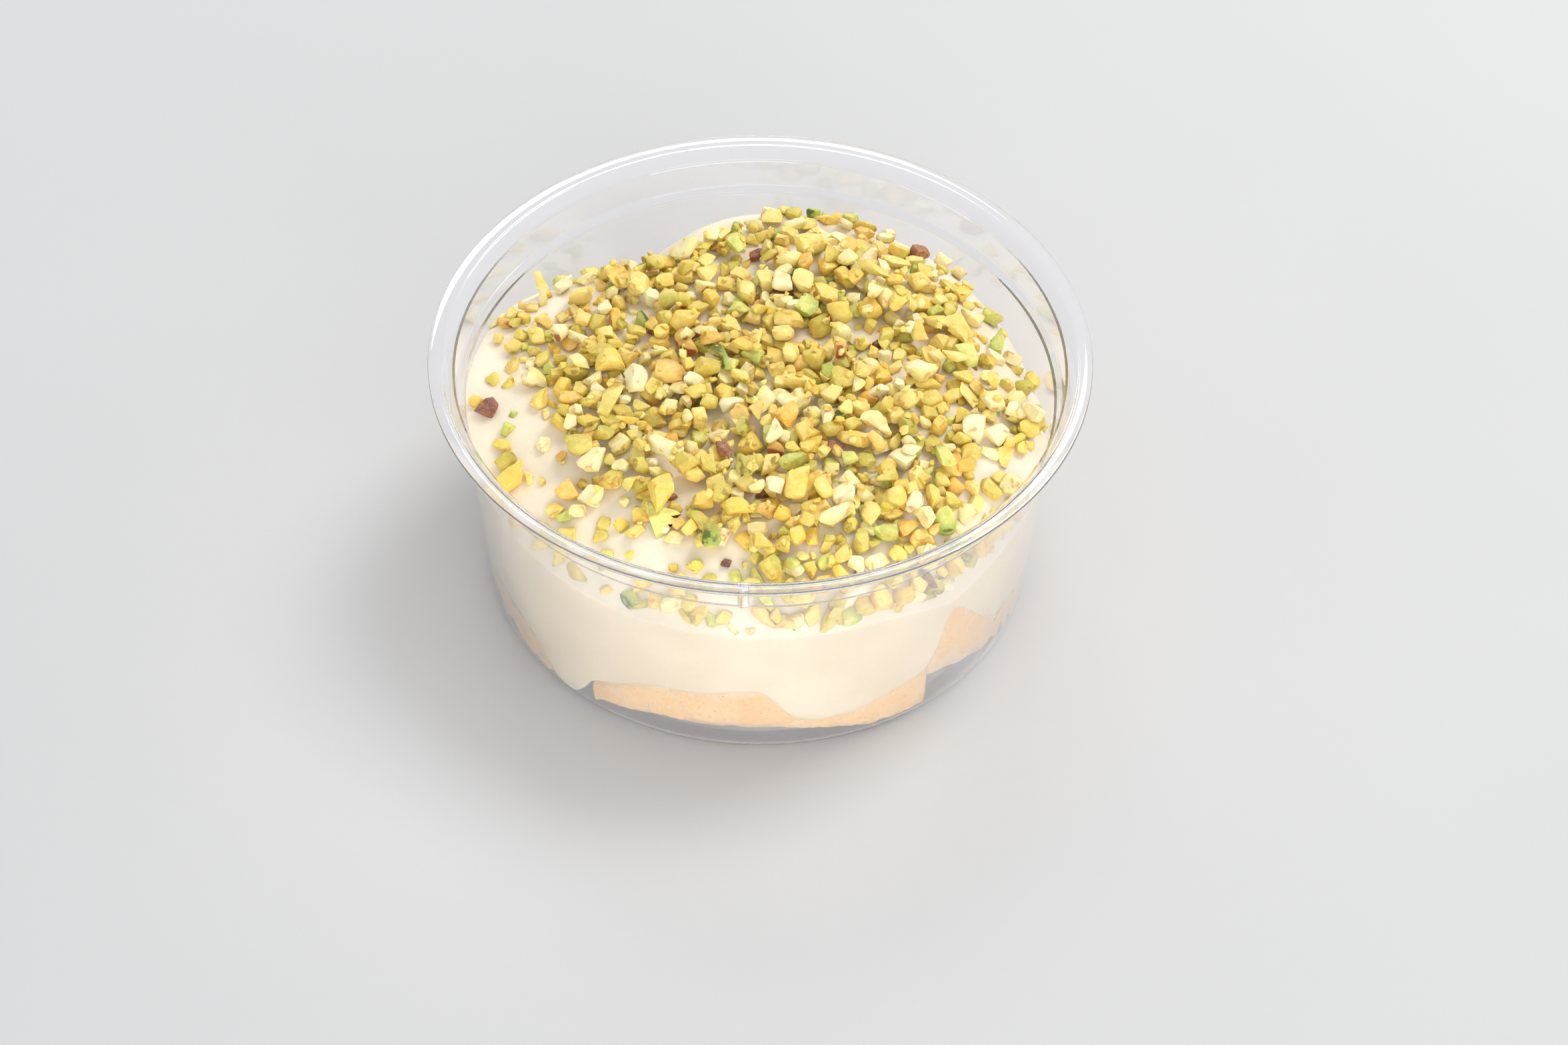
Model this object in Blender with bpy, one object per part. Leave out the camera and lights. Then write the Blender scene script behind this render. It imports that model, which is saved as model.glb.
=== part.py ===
"""Tiramisu in its clear plastic tub: a domed cream over a layer of sponge pieces.

World frame: metres, +Z up, origin at the bottom centre of the tub, front towards -Y.
Angles are azimuths in degrees, 0 at the front, positive towards +X.
"""
import math

import bpy

MM = 0.001
GAP = 0.3 * MM              # clearance between touching pieces
LAYER_GAP = 0.5 * MM        # clearance between the cream and the uneven sponge below it

# Tub: a turned shell, radii of its outer face
TUB_HEIGHT = 50.0 * MM
RIM_RADIUS = 58.5 * MM
FLANGE_WIDTH = 2.6 * MM
FLANGE_THICK = 0.8 * MM
LEAD_IN_RADIUS = 54.5 * MM  # foot of the slope below the flange
LEAD_IN_DROP = 2.6 * MM
COLLAR_RADIUS = 54.1 * MM   # foot of the upper wall, just above the stacking ledge
COLLAR_DROP = 7.8 * MM
LEDGE_RADIUS = 52.9 * MM    # top of the tapered wall, just below the stacking ledge
LEDGE_DROP = 9.2 * MM
WALL_FOOT_RADIUS = 49.4 * MM
CORNER_RADIUS = 2.2 * MM
WALL = 0.7 * MM
FOOT_WIDTH = 2.6 * MM       # flat ring that the tub stands on
BASE_LIFT = 1.1 * MM        # raised middle of the base
TUB_SEGMENTS = 72
CORNER_STEPS = 4

# Contents
STEP_DEG = 4                # angular step shared by the cream and the sponge pieces
FLOOR = BASE_LIFT + WALL + GAP
LAYER_HEIGHT = 14.0 * MM    # sponge layer away from the wall
EDGE_BLEND = 12.0 * MM      # stretch over which the wall heights fade inwards
UNDER_BLEND = 8.0 * MM      # rounded underside beside the wall
DOME_HEIGHT = 43.6 * MM
DOME_OFFSET = 4.0 * MM      # the dome's crown lies this far behind the axis
CROWN_FALL = 2.4 * MM       # drop of the dome's broad top from its crown out to the rim
EDGE_DIP = 0.4 * MM         # how far the cream may lie below its edge at the wall
FOLDS_AT = (-2.0 * MM, 31.0 * MM)       # middle of the folds behind the crown
FOLDS_REACH = (14.0 * MM, 9.0 * MM)
FOLD_HEIGHT = 0.9 * MM
FOLD_PITCH = 2.6 * MM
FOLD_SLANT = 9.0 * MM

# Height in mm at which the cream meets the wall, by azimuth
WALL_LINE = (
    (-180, 35.0), (-172, 34.4), (-164, 32.4), (-157, 29.6), (-150, 27.2), (-143, 28.2),
    (-135, 31.2), (-128, 34.2), (-118, 37.0), (-104, 39.0), (-90, 40.2), (-78, 39.5),
    (-60, 35.0), (-36, 32.5), (0, 31.3), (24, 31.0), (34, 29.0), (41, 27.3), (50, 29.5),
    (60, 31.8), (76, 34.5), (92, 30.5), (108, 28.5), (124, 30.5), (150, 34.0), (180, 35.0))
# How square the dome's shoulder is, by azimuth: low is a long slope, high a rounded edge
SHOULDER = ((-180, 11.0), (-150, 9.0), (-120, 8.0), (-90, 6.0), (-60, 4.5), (0, 4.5),
            (60, 4.5), (90, 7.0), (130, 9.0), (180, 11.0))
SHOULDER_FALL = 0.62        # how fast the shoulder drops to the wall
# Radius in mm at which the cream, sloping off at the back, is SLOPE_HEIGHT high
SLOPE_HEIGHT = 40.0 * MM
SLOPE_BLEND = 1.0 * MM
SLOPE_LINE = (
    (-180, 48.4), (-172, 46.6), (-165, 44.4), (-159, 42.0), (-154, 39.2), (-150, 37.9),
    (-143, 39.0), (-135, 42.3), (-128, 45.4), (-120, 48.2), (-112, 51.4), (-100, 58.0),
    (100, 58.0), (180, 48.4))
CREAM_SHARES = (0.16, 0.32, 0.47, 0.60, 0.71, 0.80, 0.87, 0.925, 0.965, 0.99)
UNDER_RADII = (46.0, 42.0, 34.0, 26.0, 23.6, 23.0, 7.0, 4.6, 4.0)   # mm

# Each sponge piece: azimuths of its ends, radius of its inner side, then heights in mm of its
# upper and lower edge at the wall, by azimuth
FRONT_SPAN, FRONT_INNER = (-36, 36), 24.0 * MM
FRONT_TOP = ((-36, 7.8), (-24, 13.2), (-14, 15.0), (-2, 16.2), (3, 14.0), (8, 8.6), (14, 7.3),
             (20, 7.7), (28, 9.6), (36, 11.8))
FRONT_UNDER = ((-36, 2.4), (-26, 4.2), (-12, 5.6), (0, 5.8), (12, 4.0), (20, 2.9), (28, 2.4),
               (36, 2.4))
RIGHT_SPAN, SIDE_INNER = (40, 176), 5.0 * MM
RIGHT_TOP = ((40, 25.0), (44, 23.9), (48, 19.9), (52, 15.8), (58, 12.2), (70, 11.4),
             (120, 12.6), (176, 11.2))
RIGHT_UNDER = ((40, 6.8), (46, 4.9), (52, 3.3), (60, 2.4), (176, 2.4))
LEFT_SPAN = (-176, -48)
LEFT_TOP = ((-176, 11.2), (-130, 12.6), (-90, 11.6), (-66, 12.2), (-56, 10.2), (-48, 6.0))
LEFT_UNDER = ((-176, 2.4), (-48, 2.4))
SECTION_RADII = (34.0, 42.0, 46.0)      # mm, places across a piece
END_INSET_DEG = 0.6         # the rounded ends stop this short of the span
END_HEIGHT_SHARE = 0.88     # height of a rounded end against the section beside it
END_WIDTH_SHARE = 0.97
INNER_SIDE = 2.0 * MM       # rounding of the side that faces the axis
INNER_HALF = 3.0 * MM       # half the height of that side's flat

CREAM = (0.86, 0.76, 0.60, 1.0)
SPONGE = (0.84, 0.60, 0.33, 1.0)
CLEAR = (0.93, 0.93, 0.96, 0.25)


def clear_scene():
    for item in list(bpy.data.objects):
        bpy.data.objects.remove(item, do_unlink=True)


def make_material(name, colour, roughness, transmission=0.0):
    material = bpy.data.materials.new(name)
    material.use_nodes = True
    shader = material.node_tree.nodes["Principled BSDF"]
    shader.inputs["Base Color"].default_value = colour
    shader.inputs["Roughness"].default_value = roughness
    shader.inputs["Metallic"].default_value = 0.0
    shader.inputs["Transmission Weight"].default_value = transmission
    shader.inputs["Alpha"].default_value = colour[3]
    return material


def add_object(name, points, faces, material, sharp_deg=40.0):
    mesh = bpy.data.meshes.new(name)
    mesh.from_pydata(points, [], faces)
    mesh.materials.append(material)
    mesh.shade_smooth()
    mesh.set_sharp_from_angle(angle=math.radians(sharp_deg))
    item = bpy.data.objects.new(name, mesh)
    bpy.context.scene.collection.objects.link(item)
    return item


def smooth(t):
    """Ease from 0 to 1 with level ends."""
    t = min(max(t, 0.0), 1.0)
    return t * t * (3.0 - 2.0 * t)


def steady_slope(curve, k):
    """Slope of a curve at its point k: level at its ends and turning points."""
    if k in (0, len(curve) - 1):
        return 0.0
    (a, low), (b, middle), (c, high) = curve[k - 1:k + 2]
    before = (middle - low) / (b - a)
    after = (high - middle) / (c - b)
    if before * after <= 0.0:
        return 0.0
    return 2.0 * before * after / (before + after)


def along(curve, azimuth):
    """Value of a smooth curve through (azimuth, value) pairs, without overshoot."""
    if azimuth <= curve[0][0]:
        return curve[0][1]
    for k, ((a, low), (b, high)) in enumerate(zip(curve, curve[1:])):
        if azimuth <= b:
            t = (azimuth - a) / (b - a)
            leave = steady_slope(curve, k) * (t - 2.0 * t ** 2 + t ** 3)
            arrive = steady_slope(curve, k + 1) * (t ** 3 - t ** 2)
            return low + (high - low) * smooth(t) + (b - a) * (leave + arrive)
    return curve[-1][1]


def polar(radius, azimuth, z):
    angle = math.radians(azimuth)
    return (radius * math.sin(angle), -radius * math.cos(angle), z)


def wall_radius(z):
    """Radius of the tub's inner face at height z, between the corner and the ledge."""
    low = CORNER_RADIUS
    high = TUB_HEIGHT - LEDGE_DROP
    t = min(max((z - low) / (high - low), 0.0), 1.0)
    return WALL_FOOT_RADIUS + (LEDGE_RADIUS - WALL_FOOT_RADIUS) * t - WALL


def contact_radius(z):
    """Outermost radius that the contents may reach at height z."""
    facet = math.cos(math.pi / TUB_SEGMENTS)
    return wall_radius(z) * facet - GAP


def outer_profile():
    """Outer face of the tub from the middle of its base up to the flange's lower edge."""
    foot = WALL_FOOT_RADIUS - CORNER_RADIUS
    points = [(foot - FOOT_WIDTH - BASE_LIFT, BASE_LIFT), (foot - FOOT_WIDTH, 0.0)]
    for step in range(CORNER_STEPS + 1):
        angle = 0.5 * math.pi * step / CORNER_STEPS
        points.append((foot + CORNER_RADIUS * math.sin(angle),
                       CORNER_RADIUS * (1.0 - math.cos(angle))))
    points += [
        (LEDGE_RADIUS, TUB_HEIGHT - LEDGE_DROP),
        (COLLAR_RADIUS, TUB_HEIGHT - COLLAR_DROP),
        (LEAD_IN_RADIUS, TUB_HEIGHT - LEAD_IN_DROP),
        (RIM_RADIUS - FLANGE_WIDTH + 0.5 * FLANGE_THICK, TUB_HEIGHT - FLANGE_THICK),
        (RIM_RADIUS - 0.4 * FLANGE_THICK, TUB_HEIGHT - FLANGE_THICK)]
    return points


def inner_profile():
    """Inner face of the tub from the flange's upper edge down to the middle of its base."""
    foot = WALL_FOOT_RADIUS - CORNER_RADIUS
    corner = CORNER_RADIUS - WALL
    points = [
        (RIM_RADIUS, TUB_HEIGHT - 0.6 * FLANGE_THICK),
        (RIM_RADIUS - 0.3 * FLANGE_THICK, TUB_HEIGHT),
        (RIM_RADIUS - FLANGE_WIDTH, TUB_HEIGHT),
        (LEAD_IN_RADIUS - WALL, TUB_HEIGHT - LEAD_IN_DROP),
        (COLLAR_RADIUS - WALL, TUB_HEIGHT - COLLAR_DROP),
        (LEDGE_RADIUS - WALL, TUB_HEIGHT - LEDGE_DROP)]
    for step in range(CORNER_STEPS, -1, -1):
        angle = 0.5 * math.pi * step / CORNER_STEPS
        points.append((foot + corner * math.sin(angle),
                       CORNER_RADIUS - corner * math.cos(angle)))
    points += [(foot - FOOT_WIDTH + 0.4 * WALL, WALL),
               (foot - FOOT_WIDTH - BASE_LIFT + 0.4 * WALL, BASE_LIFT + WALL)]
    return points


def build_tub(material):
    """Turn the profile into one closed shell."""
    profile = outer_profile() + inner_profile()
    points = [(0.0, 0.0, BASE_LIFT), (0.0, 0.0, BASE_LIFT + WALL)]
    for radius, z in profile:
        points += [polar(radius, 360.0 * k / TUB_SEGMENTS, z) for k in range(TUB_SEGMENTS)]
    faces = []
    last = 2 + (len(profile) - 1) * TUB_SEGMENTS
    for k in range(TUB_SEGMENTS):
        n = (k + 1) % TUB_SEGMENTS
        faces.append((0, 2 + n, 2 + k))
        faces.append((1, last + k, last + n))
        for ring in range(len(profile) - 1):
            low = 2 + ring * TUB_SEGMENTS
            high = low + TUB_SEGMENTS
            faces.append((low + k, low + n, high + n, high + k))
    return add_object("tub", points, faces, material)


def sponge_heights(top, under, azimuth, radius):
    """Upper and lower height of a sponge piece at a place."""
    wall_top = along(top, azimuth) * MM
    wall_under = max(along(under, azimuth) * MM, FLOOR)
    inset = contact_radius(wall_top) - radius
    high = wall_top + (LAYER_HEIGHT - wall_top) * smooth(inset / EDGE_BLEND)
    low = wall_under + (FLOOR - wall_under) * smooth(inset / UNDER_BLEND)
    return high, low


def sponge_section(top, under, azimuth, inner, tall=1.0, wide=1.0):
    """Closed loop of one cross-section; tall and wide are its share of the full size."""
    edge_high = along(top, azimuth) * MM
    edge_low = max(along(under, azimuth) * MM, FLOOR)
    edge_middle = 0.5 * (edge_high + edge_low)
    centre = 0.5 * (inner + contact_radius(edge_middle))
    upper = []
    lower = []
    for radius in (inner + INNER_SIDE, *(r * MM for r in SECTION_RADII)):
        high, low = sponge_heights(top, under, azimuth, radius)
        upper.append((radius, high, 0.5 * (high + low)))
        lower.append((radius, low, 0.5 * (high + low)))
    upper.append((contact_radius(edge_high), edge_high, edge_middle))
    lower.append((contact_radius(edge_low), edge_low, edge_middle))
    layer_middle = 0.5 * (FLOOR + LAYER_HEIGHT)
    side = [(inner, layer_middle - INNER_HALF, layer_middle),
            (inner, layer_middle + INNER_HALF, layer_middle)]
    wall = [(contact_radius(edge_middle), edge_middle, edge_middle)]
    return [polar(centre + (r - centre) * wide, azimuth, middle + (z - middle) * tall)
            for r, z, middle in upper + wall + lower[::-1] + side]


def build_sponge(name, span, inner, top, under, material):
    """Loft one sponge piece round the tub between its two rounded ends."""
    first, last = span
    sections = []
    end = (END_HEIGHT_SHARE, END_WIDTH_SHARE)
    sections.append(sponge_section(top, under, first + END_INSET_DEG, inner, *end))
    for azimuth in range(first + STEP_DEG, last, STEP_DEG):
        sections.append(sponge_section(top, under, azimuth, inner))
    sections.append(sponge_section(top, under, last - END_INSET_DEG, inner, *end))
    count = len(sections[0])
    points = [point for section in sections for point in section]
    faces = [tuple(reversed(range(count))), tuple(range(len(points) - count, len(points)))]
    for row in range(len(sections) - 1):
        for k in range(count):
            n = (k + 1) % count
            a = row * count
            b = a + count
            faces.append((a + k, a + n, b + n, b + k))
    return add_object(name, points, faces, material)


def dome_height(azimuth, share):
    """Upper face of the cream; share is 0 on the axis and 1 at the wall."""
    edge = along(WALL_LINE, azimuth) * MM
    power = along(SHOULDER, azimuth)
    angle = math.radians(azimuth)
    radius = share * contact_radius(edge)
    x = radius * math.sin(angle)
    y = -radius * math.cos(angle) - DOME_OFFSET
    crown = DOME_HEIGHT - CROWN_FALL * (math.hypot(x, y) / RIM_RADIUS) ** 2
    dome = edge + (crown - edge) * (1.0 - share ** power) ** SHOULDER_FALL
    slope = SLOPE_HEIGHT + along(SLOPE_LINE, azimuth) * MM - radius
    return max(soft_lower(dome, slope), edge - EDGE_DIP * (1.0 - share)) + ripple(x, y)


def soft_lower(first, second):
    """The lower of two heights, with a rounded change from one to the other."""
    low, high = min(first, second), max(first, second)
    return low - SLOPE_BLEND * math.log1p(math.exp((low - high) / SLOPE_BLEND))


def ripple(x, y):
    """Low folds left where the cream was swirled, behind the crown."""
    fold = math.exp(-((x - FOLDS_AT[0]) / FOLDS_REACH[0]) ** 2)
    band = math.exp(-((y - FOLDS_AT[1]) / FOLDS_REACH[1]) ** 2)
    return FOLD_HEIGHT * fold * band * math.sin(y / FOLD_PITCH + x / FOLD_SLANT)


def under_height(azimuth, radius):
    """Lower face of the cream: over the sponge pieces, down to the base between them."""
    pieces = ((FRONT_SPAN, FRONT_INNER, FRONT_TOP, FRONT_UNDER),
              (RIGHT_SPAN, SIDE_INNER, RIGHT_TOP, RIGHT_UNDER),
              (LEFT_SPAN, SIDE_INNER, LEFT_TOP, LEFT_UNDER))
    for (first, last), inner, top, under in pieces:
        if first <= azimuth <= last and radius >= inner - 1.5 * GAP:
            radius = min(radius, contact_radius(along(top, azimuth) * MM))
            return sponge_heights(top, under, azimuth, radius)[0] + LAYER_GAP
    return FLOOR


def cream_rings():
    """Rings of the cream's surface from the top of its dome round to its underside."""
    azimuths = range(-180, 180, STEP_DEG)
    rings = []
    for share in CREAM_SHARES:
        ring = []
        for a in azimuths:
            edge = contact_radius(along(WALL_LINE, a) * MM)
            ring.append(polar(edge * share, a, dome_height(a, share)))
        rings.append(ring)
    wall_top = [along(WALL_LINE, a) * MM for a in azimuths]
    wall_foot = [under_height(a, RIM_RADIUS) for a in azimuths]
    for t in (0.0, 0.5, 1.0):
        ring = []
        for a, high, low in zip(azimuths, wall_top, wall_foot):
            z = high + (low - high) * t
            ring.append(polar(contact_radius(z), a, z))
        rings.append(ring)
    for radius in UNDER_RADII:
        rings.append([polar(radius * MM, a, under_height(a, radius * MM)) for a in azimuths])
    return rings


def build_cream(material):
    rings = cream_rings()
    count = len(rings[0])
    points = [(0.0, 0.0, dome_height(0, 0.0)), (0.0, 0.0, FLOOR)]
    for ring in rings:
        points += ring
    last = 2 + (len(rings) - 1) * count
    faces = []
    for k in range(count):
        n = (k + 1) % count
        faces.append((0, 2 + k, 2 + n))
        faces.append((1, last + n, last + k))
        for row in range(len(rings) - 1):
            a = 2 + row * count
            b = a + count
            faces.append((a + k, b + k, b + n, a + n))
    return add_object("cream", points, faces, material)


def main():
    clear_scene()
    clear = make_material("clear_plastic", CLEAR, 0.05, transmission=1.0)
    cream = make_material("cream", CREAM, 0.45)
    sponge = make_material("sponge", SPONGE, 0.85)
    build_tub(clear)
    build_cream(cream)
    build_sponge("sponge_front", FRONT_SPAN, FRONT_INNER, FRONT_TOP, FRONT_UNDER, sponge)
    build_sponge("sponge_right", RIGHT_SPAN, SIDE_INNER, RIGHT_TOP, RIGHT_UNDER, sponge)
    build_sponge("sponge_left", LEFT_SPAN, SIDE_INNER, LEFT_TOP, LEFT_UNDER, sponge)


main()
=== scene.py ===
"""Looks of a tiramisu in its clear tub: cream over sponge, topped with chopped pistachios.

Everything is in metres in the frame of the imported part: +Z up, front towards -Y. Azimuths are in
degrees, 0 at the front and positive towards +X.
"""
import math

import bmesh
import bpy
import numpy as np
from mathutils import Matrix, Vector, noise


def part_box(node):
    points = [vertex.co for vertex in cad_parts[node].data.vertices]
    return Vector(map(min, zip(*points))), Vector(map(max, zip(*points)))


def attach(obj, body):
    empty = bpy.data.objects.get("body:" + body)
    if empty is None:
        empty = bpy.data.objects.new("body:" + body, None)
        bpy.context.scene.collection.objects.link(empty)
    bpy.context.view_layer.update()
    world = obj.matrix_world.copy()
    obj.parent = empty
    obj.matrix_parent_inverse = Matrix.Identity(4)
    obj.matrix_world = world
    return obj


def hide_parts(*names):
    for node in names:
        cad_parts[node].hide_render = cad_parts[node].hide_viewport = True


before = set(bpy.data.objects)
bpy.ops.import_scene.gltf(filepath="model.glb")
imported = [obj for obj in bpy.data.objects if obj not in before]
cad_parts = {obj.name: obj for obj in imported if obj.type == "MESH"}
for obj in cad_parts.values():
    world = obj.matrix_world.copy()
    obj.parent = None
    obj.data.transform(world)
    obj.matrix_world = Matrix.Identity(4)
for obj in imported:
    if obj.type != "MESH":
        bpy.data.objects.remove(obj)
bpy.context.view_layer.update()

MM = 0.001
TUB_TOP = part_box("tub")[1]
HEIGHT = TUB_TOP.z
RIM_RADIUS = TUB_TOP.x
SEED = 20

# Tub, as in the CAD: radii of its outer face and drops below the rim
FLANGE_WIDTH = 2.6 * MM
FLANGE_THICK = 0.8 * MM
LEAD_IN = (RIM_RADIUS - 4.0 * MM, HEIGHT - 2.6 * MM)
COLLAR = (RIM_RADIUS - 4.4 * MM, HEIGHT - 7.8 * MM)
LEDGE = (RIM_RADIUS - 5.6 * MM, HEIGHT - 9.2 * MM)
WALL_FOOT = (RIM_RADIUS - 9.1 * MM, 2.2 * MM)
CORNER_RADIUS = 2.2 * MM
WALL = 0.7 * MM
FOOT_WIDTH = 2.6 * MM
BASE_LIFT = 1.1 * MM        # raised middle of the base
FLOOR = BASE_LIFT + WALL
REACH = 0.12 * MM           # how far the contents reach into the wall
LAYER_HEIGHT = 14.0 * MM    # sponge layer away from the wall
DOME_HEIGHT = 43.3 * MM
DOME_OFFSET = 4.0 * MM      # the dome's crown lies this far behind the axis
RIB_AZIMUTH = -2.5          # small upright rib under the front of the flange
RIB_DEPTH = 0.9 * MM

# Height in mm at which the cream meets the wall, by azimuth
WALL_LINE = (
    (-180, 35.0), (-172, 34.4), (-164, 32.4), (-157, 29.6), (-150, 27.2), (-143, 28.2),
    (-135, 31.2), (-128, 34.2), (-118, 37.0), (-104, 39.0), (-90, 40.2), (-78, 39.5),
    (-60, 35.0), (-36, 32.5), (0, 31.3), (24, 31.0), (34, 29.0), (41, 27.3), (50, 29.5),
    (60, 31.8), (76, 34.5), (92, 30.5), (108, 28.5), (124, 30.5), (150, 34.0), (180, 35.0))
# How square the dome's shoulder is, by azimuth: low is a long slope, high a rounded edge
SHOULDER = ((-180, 11.0), (-150, 9.0), (-120, 8.0), (-90, 6.0), (-60, 4.5), (0, 4.5),
            (60, 4.5), (90, 7.0), (130, 9.0), (180, 11.0))
# Radius in mm at which the cream, sloping off at the back, is SLOPE_HEIGHT high
SLOPE_HEIGHT = 40.0 * MM
SLOPE_BLEND = 1.0 * MM
SLOPE_LINE = ((-180, 48.4), (-172, 46.6), (-165, 44.4), (-159, 42.0), (-154, 39.2), (-150, 37.9),
              (-143, 39.0), (-135, 42.3), (-128, 45.4), (-120, 48.2), (-112, 51.4), (-100, 58.0),
              (100, 58.0), (180, 48.4))
# Lower edge of the cream at the wall, in mm
LOWER_LINE = (
    (-180, 4.4), (-178, 5.2), (-174, 9.6), (-166, 12.0), (-130, 13.0), (-90, 12.0),
    (-66, 12.6), (-56, 10.6), (-51, 7.6), (-46, 2.4), (-42, 1.9), (-39, 4.2), (-36, 8.2),
    (-30, 11.0), (-24, 13.6), (-18, 14.8), (-10, 15.2), (-4, 16.4), (0, 16.6), (3, 14.4),
    (6, 10.4), (9, 8.4), (14, 7.6), (20, 8.0), (26, 9.6), (32, 10.8), (36, 12.2), (38, 15.5),
    (40, 22.0), (41.5, 26.0), (44, 24.6), (48, 20.4), (52, 16.2), (58, 12.6), (70, 11.8),
    (120, 13.0), (168, 12.2), (174, 9.0), (177, 5.6), (180, 4.4))


def smooth(t):
    t = np.clip(t, 0.0, 1.0)
    return t * t * (3.0 - 2.0 * t)


def curve(points, azimuth):
    """A smooth curve through (azimuth, value) points, without overshoot."""
    xs, ys = np.array(points, float).T
    slopes = np.diff(ys) / np.diff(xs)
    tangent = np.zeros(len(xs))
    same = slopes[1:] * slopes[:-1] > 0
    steady = 2.0 * slopes[1:] * slopes[:-1] / np.where(same, slopes[1:] + slopes[:-1], 1.0)
    tangent[1:-1] = np.where(same, steady, 0.0)
    azimuth = np.clip(azimuth, xs[0], xs[-1])
    k = np.clip(np.searchsorted(xs, azimuth, side="right") - 1, 0, len(xs) - 2)
    span = xs[k + 1] - xs[k]
    t = (azimuth - xs[k]) / span
    bow = t * t * (3.0 - 2.0 * t)
    rise = ys[k] + (ys[k + 1] - ys[k]) * bow
    return rise + span * ((t - 2 * t * t + t ** 3) * tangent[k] + (t ** 3 - t * t) * tangent[k + 1])


def inner_radius(z):
    """Radius of the tub's inner face at height z."""
    heights = [0.0, 0.9 * MM, CORNER_RADIUS, LEDGE[1], COLLAR[1], LEAD_IN[1], HEIGHT]
    foot = WALL_FOOT[0] - WALL
    radii = [foot - 1.5 * MM, foot - 0.7 * MM, foot, LEDGE[0] - WALL, COLLAR[0] - WALL,
             LEAD_IN[0] - WALL, RIM_RADIUS - FLANGE_WIDTH]
    return np.interp(z, heights, radii)


def contact_radius(z):
    return inner_radius(z) + REACH


def floor_height(radius):
    """Height of the tub's inside base: lower in the ring along the wall."""
    ring = WALL_FOOT[0] - CORNER_RADIUS - FOOT_WIDTH
    return np.interp(radius, [ring - BASE_LIFT, ring], [FLOOR, WALL])


def polar(radius, azimuth, z):
    angle = np.radians(azimuth)
    return np.stack(np.broadcast_arrays(radius * np.sin(angle), -radius * np.cos(angle), z), -1)


def field(points, scale, octaves=3, offset=0.0):
    """Fractal noise from about -1 to 1 at each point; scale is the size of its largest bumps."""
    flat = np.asarray(points, float).reshape(-1, 3) / scale + offset
    values = [noise.fractal(Vector(p), 1.0, 2.0, octaves) for p in flat.tolist()]
    return np.array(values).reshape(np.shape(points)[:-1])


# ---------------------------------------------------------------- meshes

def mesh_object(name, points, faces, material, smooth_shading=True):
    mesh = bpy.data.meshes.new(name)
    mesh.from_pydata(np.asarray(points).reshape(-1, 3).tolist(), [], faces)
    mesh.materials.append(material)
    if smooth_shading:
        mesh.shade_smooth()
    item = bpy.data.objects.new(name, mesh)
    bpy.context.scene.collection.objects.link(item)
    return item


def ring_faces(rows, columns, first=0, wrap_rows=False):
    """Quads of a closed band of rings, each ring with the same number of points."""
    faces = []
    for row in range(rows if wrap_rows else rows - 1):
        low = first + row * columns
        high = first + ((row + 1) % rows) * columns
        for k in range(columns):
            n = (k + 1) % columns
            faces.append((low + k, low + n, high + n, high + k))
    return faces


def fillet(corners, steps=5):
    """Outline with each (radius, z, rounding) corner replaced by an arc."""
    outline = []
    for k, (r, z, rounding) in enumerate(corners):
        here = Vector((r, z))
        if rounding <= 0.0 or k in (0, len(corners) - 1):
            outline.append(here)
            continue
        before = Vector(corners[k - 1][:2]) - here
        after = Vector(corners[k + 1][:2]) - here
        half = 0.5 * before.angle(after)
        reach = min(rounding / math.tan(half), 0.49 * before.length, 0.49 * after.length)
        start = here + before.normalized() * reach
        end = here + after.normalized() * reach
        for step in range(steps + 1):
            t = step / steps
            weight = 2.0 * t * (1.0 - t) * math.sin(half)
            bent = start.lerp(end, t)
            outline.append(bent.lerp(here, weight))
    return outline


def tub_outline():
    foot = WALL_FOOT[0] - 0.2 * MM
    under = HEIGHT - FLANGE_THICK
    ring = foot - CORNER_RADIUS - FOOT_WIDTH
    return fillet([
        (0.0, BASE_LIFT, 0.0),
        (ring - BASE_LIFT, BASE_LIFT, 0.6 * MM),
        (ring, 0.0, 0.5 * MM),
        (foot, 0.0, CORNER_RADIUS),
        (*LEDGE, 0.6 * MM),
        (*COLLAR, 0.6 * MM),
        (*LEAD_IN, 0.8 * MM),
        (RIM_RADIUS - FLANGE_WIDTH + 0.4 * FLANGE_THICK, under, 0.5 * MM),
        (RIM_RADIUS, under, 0.38 * FLANGE_THICK),
        (RIM_RADIUS, HEIGHT, 0.38 * FLANGE_THICK),
        (RIM_RADIUS - FLANGE_WIDTH, HEIGHT, 0.45 * MM),
        (LEAD_IN[0] - WALL, LEAD_IN[1], 0.8 * MM),
        (COLLAR[0] - WALL, COLLAR[1], 0.5 * MM),
        (LEDGE[0] - WALL, LEDGE[1], 0.5 * MM),
        (foot - WALL, WALL, CORNER_RADIUS - WALL),
        (ring + 0.3 * WALL, WALL, 0.4 * MM),
        (ring - BASE_LIFT + 0.3 * WALL, FLOOR, 0.5 * MM),
        (0.0, FLOOR, 0.0)])


def tub_angles():
    """Azimuths of the tub's rings of points: even, and close together at the small rib."""
    even = np.arange(0.0, 360.0, 360.0 / 256)
    rib = RIB_AZIMUTH % 360.0 + np.array([-1.3, -1.05, -0.8, -0.6, 0.6, 0.8, 1.05, 1.3])
    away = np.abs(even - RIB_AZIMUTH % 360.0) > 1.6
    return np.sort(np.concatenate([even[away], rib]))


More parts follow.
